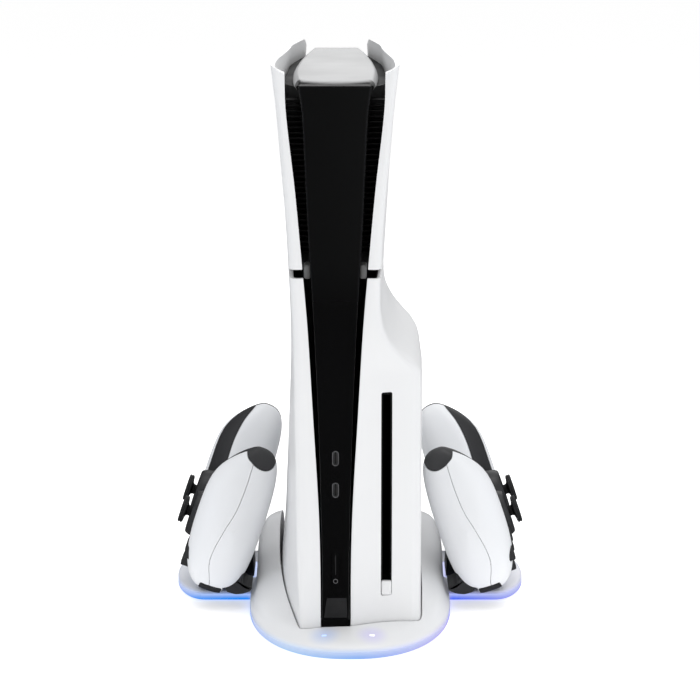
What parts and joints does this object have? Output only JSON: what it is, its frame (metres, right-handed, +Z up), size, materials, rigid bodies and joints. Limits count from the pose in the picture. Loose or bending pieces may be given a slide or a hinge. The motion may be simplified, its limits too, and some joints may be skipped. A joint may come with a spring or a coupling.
{
  "type": "game console with controllers on a charging stand",
  "caption": "Slim upright game console with a disc drive, standing in a lit charging stand that holds a wireless controller on each side.",
  "frame": {"origin": "centre of the stand's footprint on the ground", "axes": "+Z up, the console's glossy front faces -Y, +X to the right seen from the front"},
  "size_m": [0.2368, 0.244, 0.37],
  "materials": {
    "cover_white": "fine matt moulded white plastic",
    "light_diffuser": "milky translucent plastic, lit blue to violet from inside",
    "rubber_black": "matt black rubber",
    "matte_black": "matt black plastic",
    "fan_black": "satin black plastic",
    "gloss_black": "polished black plastic",
    "cap_grey": "satin pale grey plastic",
    "band_grey": "glossy dark grey plastic",
    "pad_white": "fine textured cool white plastic",
    "pad_black": "fine textured charcoal plastic"
  },
  "bodies": {
    "stand": {"stand_shell": "cover_white", "stand_base": "cover_white", "light_strip": "light_diffuser", "wing_foot_ring": "rubber_black", "front_foot_pad": "rubber_black", "left_dock": "matte_black", "right_dock": "matte_black"},
    "console": {"console_chassis": "matte_black", "front_fascia": "gloss_black", "top_cap": "cap_grey", "lower_left_cover": "cover_white", "upper_left_cover": "cover_white", "upper_right_cover": "cover_white", "drive_cover": "cover_white", "waist_band": "band_grey", "disc_drive": "matte_black"},
    "stand_fan": {"stand_fan": "fan_black"},
    "power_button": {"power_button": "gloss_black"},
    "eject_button": {"eject_button": "cover_white"},
    "blower_fan": {"blower_fan": "fan_black"},
    "left_pad": {"left_pad_front_shell": "pad_white", "left_pad_back_shell": "pad_white", "left_pad_centre_trim": "pad_black"},
    "left_pad_touchpad": {"left_pad_touchpad": "pad_white"},
    "left_pad_dpad": {"left_pad_dpad": "pad_white"},
    "left_pad_top_button": {"left_pad_top_button": "pad_white"},
    "left_pad_right_button": {"left_pad_right_button": "pad_white"},
    "left_pad_bottom_button": {"left_pad_bottom_button": "pad_white"},
    "left_pad_left_button": {"left_pad_left_button": "pad_white"},
    "left_pad_create_button": {"left_pad_create_button": "pad_white"},
    "left_pad_options_button": {"left_pad_options_button": "pad_white"},
    "left_pad_home_button": {"left_pad_home_button": "pad_black"},
    "left_pad_left_bumper": {"left_pad_left_bumper": "pad_black"},
    "left_pad_left_trigger": {"left_pad_left_trigger": "pad_black"},
    "left_pad_left_stick_gimbal": {"left_pad_left_stick_gimbal": "fan_black"},
    "left_pad_left_stick": {"left_pad_left_stick": "pad_black"},
    "left_pad_right_bumper": {"left_pad_right_bumper": "pad_black"},
    "left_pad_right_trigger": {"left_pad_right_trigger": "pad_black"},
    "left_pad_right_stick_gimbal": {"left_pad_right_stick_gimbal": "fan_black"},
    "left_pad_right_stick": {"left_pad_right_stick": "pad_black"},
    "right_pad": {"right_pad_front_shell": "pad_white", "right_pad_back_shell": "pad_white", "right_pad_centre_trim": "pad_black"},
    "right_pad_touchpad": {"right_pad_touchpad": "pad_white"},
    "right_pad_dpad": {"right_pad_dpad": "pad_white"},
    "right_pad_top_button": {"right_pad_top_button": "pad_white"},
    "right_pad_right_button": {"right_pad_right_button": "pad_white"},
    "right_pad_bottom_button": {"right_pad_bottom_button": "pad_white"},
    "right_pad_left_button": {"right_pad_left_button": "pad_white"},
    "right_pad_create_button": {"right_pad_create_button": "pad_white"},
    "right_pad_options_button": {"right_pad_options_button": "pad_white"},
    "right_pad_home_button": {"right_pad_home_button": "pad_black"},
    "right_pad_left_bumper": {"right_pad_left_bumper": "pad_black"},
    "right_pad_left_trigger": {"right_pad_left_trigger": "pad_black"},
    "right_pad_left_stick_gimbal": {"right_pad_left_stick_gimbal": "fan_black"},
    "right_pad_left_stick": {"right_pad_left_stick": "pad_black"},
    "right_pad_right_bumper": {"right_pad_right_bumper": "pad_black"},
    "right_pad_right_trigger": {"right_pad_right_trigger": "pad_black"},
    "right_pad_right_stick_gimbal": {"right_pad_right_stick_gimbal": "fan_black"},
    "right_pad_right_stick": {"right_pad_right_stick": "pad_black"}
  },
  "joints": [
    {"name": "console_lift", "type": "slide", "parent": "stand", "child": "console", "axis": [0, 0, 1], "range_m": [0, 0.12]},
    {"name": "power_press", "type": "slide", "parent": "console", "child": "power_button", "axis": [0, 1, 0], "range_m": [0, 0.0006], "stiffness_N_per_m": 300, "springref_m": -0.0006},
    {"name": "eject_press", "type": "slide", "parent": "console", "child": "eject_button", "axis": [0, 1, 0], "range_m": [0, 0.0008], "stiffness_N_per_m": 300, "springref_m": -0.0006},
    {"name": "blower_spin", "type": "hinge", "parent": "console", "child": "blower_fan", "pos_m": [-0.03081, 0.01448, 0.2984], "axis": [1, 0, 0], "continuous": true},
    {"name": "stand_fan_spin", "type": "hinge", "parent": "stand", "child": "stand_fan", "pos_m": [-0.0091, 0.008, 0.0069], "axis": [0, 0, 1], "continuous": true},
    {"name": "left_pad_lift", "type": "slide", "parent": "stand", "child": "left_pad", "axis": [0, 0, 1], "range_m": [0, 0.1]},
    {"name": "left_pad_touchpad_press", "type": "slide", "parent": "left_pad", "child": "left_pad_touchpad", "axis": [0.9455, 0, -0.3256], "range_m": [0, 0.0006], "stiffness_N_per_m": 500, "springref_m": -0.0006},
    {"name": "left_pad_dpad_press", "type": "slide", "parent": "left_pad", "child": "left_pad_dpad", "axis": [0.9455, 0, -0.3256], "range_m": [0, 0.0008], "stiffness_N_per_m": 300, "springref_m": -0.0006},
    {"name": "left_pad_top_button_press", "type": "slide", "parent": "left_pad", "child": "left_pad_top_button", "axis": [0.9455, 0, -0.3256], "range_m": [0, 0.0012], "stiffness_N_per_m": 250, "springref_m": -0.0006},
    {"name": "left_pad_right_button_press", "type": "slide", "parent": "left_pad", "child": "left_pad_right_button", "axis": [0.9455, 0, -0.3256], "range_m": [0, 0.0012], "stiffness_N_per_m": 250, "springref_m": -0.0006},
    {"name": "left_pad_bottom_button_press", "type": "slide", "parent": "left_pad", "child": "left_pad_bottom_button", "axis": [0.9455, 0, -0.3256], "range_m": [0, 0.0012], "stiffness_N_per_m": 250, "springref_m": -0.0006},
    {"name": "left_pad_left_button_press", "type": "slide", "parent": "left_pad", "child": "left_pad_left_button", "axis": [0.9455, 0, -0.3256], "range_m": [0, 0.0012], "stiffness_N_per_m": 250, "springref_m": -0.0006},
    {"name": "left_pad_create_button_press", "type": "slide", "parent": "left_pad", "child": "left_pad_create_button", "axis": [0.9455, 0, -0.3256], "range_m": [0, 0.0006], "stiffness_N_per_m": 300, "springref_m": -0.0006},
    {"name": "left_pad_options_button_press", "type": "slide", "parent": "left_pad", "child": "left_pad_options_button", "axis": [0.9455, 0, -0.3256], "range_m": [0, 0.0006], "stiffness_N_per_m": 300, "springref_m": -0.0006},
    {"name": "left_pad_home_button_press", "type": "slide", "parent": "left_pad", "child": "left_pad_home_button", "axis": [0.9455, 0, -0.3256], "range_m": [0, 0.0005], "stiffness_N_per_m": 300, "springref_m": -0.0006},
    {"name": "left_pad_left_bumper_press", "type": "slide", "parent": "left_pad", "child": "left_pad_left_bumper", "axis": [0.3256, 0, 0.9455], "range_m": [0, 0.0008], "stiffness_N_per_m": 400, "springref_m": -0.0006},
    {"name": "left_pad_left_trigger_pull", "type": "hinge", "parent": "left_pad", "child": "left_pad_left_trigger", "pos_m": [-0.07784, -0.0105, 0.0212], "axis": [0, -1, 0], "range_deg": [0, 11], "stiffness_Nm_per_rad": 0.08, "springref_deg": -5.73},
    {"name": "left_pad_left_stick_pitch", "type": "hinge", "parent": "left_pad", "child": "left_pad_left_stick_gimbal", "pos_m": [-0.09556, 0.0155, 0.05268], "axis": [0, 1, 0], "range_deg": [-12, 12], "stiffness_Nm_per_rad": 0.1},
    {"name": "left_pad_left_stick_roll", "type": "hinge", "parent": "left_pad_left_stick_gimbal", "child": "left_pad_left_stick", "pos_m": [-0.09556, 0.0155, 0.05268], "axis": [-0.3256, 0, -0.9455], "range_deg": [-12, 12], "stiffness_Nm_per_rad": 0.1},
    {"name": "left_pad_right_bumper_press", "type": "slide", "parent": "left_pad", "child": "left_pad_right_bumper", "axis": [0.3256, 0, 0.9455], "range_m": [0, 0.0008], "stiffness_N_per_m": 400, "springref_m": -0.0006},
    {"name": "left_pad_right_trigger_pull", "type": "hinge", "parent": "left_pad", "child": "left_pad_right_trigger", "pos_m": [-0.07784, 0.0945, 0.0212], "axis": [0, -1, 0], "range_deg": [0, 11], "stiffness_Nm_per_rad": 0.08, "springref_deg": -5.73},
    {"name": "left_pad_right_stick_pitch", "type": "hinge", "parent": "left_pad", "child": "left_pad_right_stick_gimbal", "pos_m": [-0.09556, 0.0685, 0.05268], "axis": [0, 1, 0], "range_deg": [-12, 12], "stiffness_Nm_per_rad": 0.1},
    {"name": "left_pad_right_stick_roll", "type": "hinge", "parent": "left_pad_right_stick_gimbal", "child": "left_pad_right_stick", "pos_m": [-0.09556, 0.0685, 0.05268], "axis": [-0.3256, 0, -0.9455], "range_deg": [-12, 12], "stiffness_Nm_per_rad": 0.1},
    {"name": "right_pad_lift", "type": "slide", "parent": "stand", "child": "right_pad", "axis": [0, 0, 1], "range_m": [0, 0.1]},
    {"name": "right_pad_touchpad_press", "type": "slide", "parent": "right_pad", "child": "right_pad_touchpad", "axis": [-0.9455, 0, -0.3256], "range_m": [0, 0.0006], "stiffness_N_per_m": 500, "springref_m": -0.0006},
    {"name": "right_pad_dpad_press", "type": "slide", "parent": "right_pad", "child": "right_pad_dpad", "axis": [-0.9455, 0, -0.3256], "range_m": [0, 0.0008], "stiffness_N_per_m": 300, "springref_m": -0.0006},
    {"name": "right_pad_top_button_press", "type": "slide", "parent": "right_pad", "child": "right_pad_top_button", "axis": [-0.9455, 0, -0.3256], "range_m": [0, 0.0012], "stiffness_N_per_m": 250, "springref_m": -0.0006},
    {"name": "right_pad_right_button_press", "type": "slide", "parent": "right_pad", "child": "right_pad_right_button", "axis": [-0.9455, 0, -0.3256], "range_m": [0, 0.0012], "stiffness_N_per_m": 250, "springref_m": -0.0006},
    {"name": "right_pad_bottom_button_press", "type": "slide", "parent": "right_pad", "child": "right_pad_bottom_button", "axis": [-0.9455, 0, -0.3256], "range_m": [0, 0.0012], "stiffness_N_per_m": 250, "springref_m": -0.0006},
    {"name": "right_pad_left_button_press", "type": "slide", "parent": "right_pad", "child": "right_pad_left_button", "axis": [-0.9455, 0, -0.3256], "range_m": [0, 0.0012], "stiffness_N_per_m": 250, "springref_m": -0.0006},
    {"name": "right_pad_create_button_press", "type": "slide", "parent": "right_pad", "child": "right_pad_create_button", "axis": [-0.9455, 0, -0.3256], "range_m": [0, 0.0006], "stiffness_N_per_m": 300, "springref_m": -0.0006},
    {"name": "right_pad_options_button_press", "type": "slide", "parent": "right_pad", "child": "right_pad_options_button", "axis": [-0.9455, 0, -0.3256], "range_m": [0, 0.0006], "stiffness_N_per_m": 300, "springref_m": -0.0006},
    {"name": "right_pad_home_button_press", "type": "slide", "parent": "right_pad", "child": "right_pad_home_button", "axis": [-0.9455, 0, -0.3256], "range_m": [0, 0.0005], "stiffness_N_per_m": 300, "springref_m": -0.0006},
    {"name": "right_pad_left_bumper_press", "type": "slide", "parent": "right_pad", "child": "right_pad_left_bumper", "axis": [-0.3256, 0, 0.9455], "range_m": [0, 0.0008], "stiffness_N_per_m": 400, "springref_m": -0.0006},
    {"name": "right_pad_left_trigger_pull", "type": "hinge", "parent": "right_pad", "child": "right_pad_left_trigger", "pos_m": [0.07784, 0.0945, 0.0212], "axis": [0, 1, 0], "range_deg": [0, 11], "stiffness_Nm_per_rad": 0.08, "springref_deg": -5.73},
    {"name": "right_pad_left_stick_pitch", "type": "hinge", "parent": "right_pad", "child": "right_pad_left_stick_gimbal", "pos_m": [0.09556, 0.0685, 0.05268], "axis": [0, -1, 0], "range_deg": [-12, 12], "stiffness_Nm_per_rad": 0.1},
    {"name": "right_pad_left_stick_roll", "type": "hinge", "parent": "right_pad_left_stick_gimbal", "child": "right_pad_left_stick", "pos_m": [0.09556, 0.0685, 0.05268], "axis": [0.3256, 0, -0.9455], "range_deg": [-12, 12], "stiffness_Nm_per_rad": 0.1},
    {"name": "right_pad_right_bumper_press", "type": "slide", "parent": "right_pad", "child": "right_pad_right_bumper", "axis": [-0.3256, 0, 0.9455], "range_m": [0, 0.0008], "stiffness_N_per_m": 400, "springref_m": -0.0006},
    {"name": "right_pad_right_trigger_pull", "type": "hinge", "parent": "right_pad", "child": "right_pad_right_trigger", "pos_m": [0.07784, -0.0105, 0.0212], "axis": [0, 1, 0], "range_deg": [0, 11], "stiffness_Nm_per_rad": 0.08, "springref_deg": -5.73},
    {"name": "right_pad_right_stick_pitch", "type": "hinge", "parent": "right_pad", "child": "right_pad_right_stick_gimbal", "pos_m": [0.09556, 0.0155, 0.05268], "axis": [0, -1, 0], "range_deg": [-12, 12], "stiffness_Nm_per_rad": 0.1},
    {"name": "right_pad_right_stick_roll", "type": "hinge", "parent": "right_pad_right_stick_gimbal", "child": "right_pad_right_stick", "pos_m": [0.09556, 0.0155, 0.05268], "axis": [0.3256, 0, -0.9455], "range_deg": [-12, 12], "stiffness_Nm_per_rad": 0.1}
  ]
}
